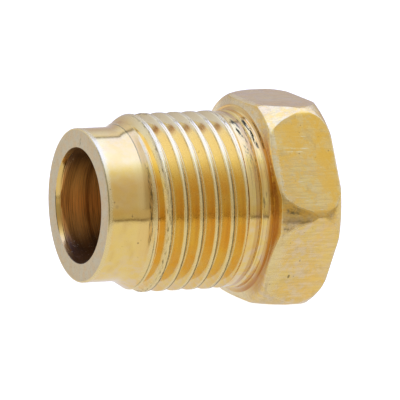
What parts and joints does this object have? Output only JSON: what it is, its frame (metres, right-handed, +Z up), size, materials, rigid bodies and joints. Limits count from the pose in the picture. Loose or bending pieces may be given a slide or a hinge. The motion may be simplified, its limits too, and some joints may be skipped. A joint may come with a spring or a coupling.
{
  "type": "male tube nut",
  "caption": "Hexagon-headed male tube nut for a compression line joint, with a plain pilot nose, a metric fine external thread and a through bore for the tube.",
  "frame": {"origin": "middle of the nut's length, on the axis of the bore", "axes": "+X along the bore from the plain nose to the hexagon, +Z up with the hexagon lying on one flat, so a hexagon corner points along +Y and another along -Y"},
  "size_m": [0.0216, 0.0204, 0.018],
  "materials": {
    "plated_steel": "bright zinc plate with a yellow iridescent chromate film, worn to silver on the thread crests and hexagon edges"
  },
  "bodies": {
    "root": {"tube_nut": "plated_steel"}
  },
  "joints": []
}
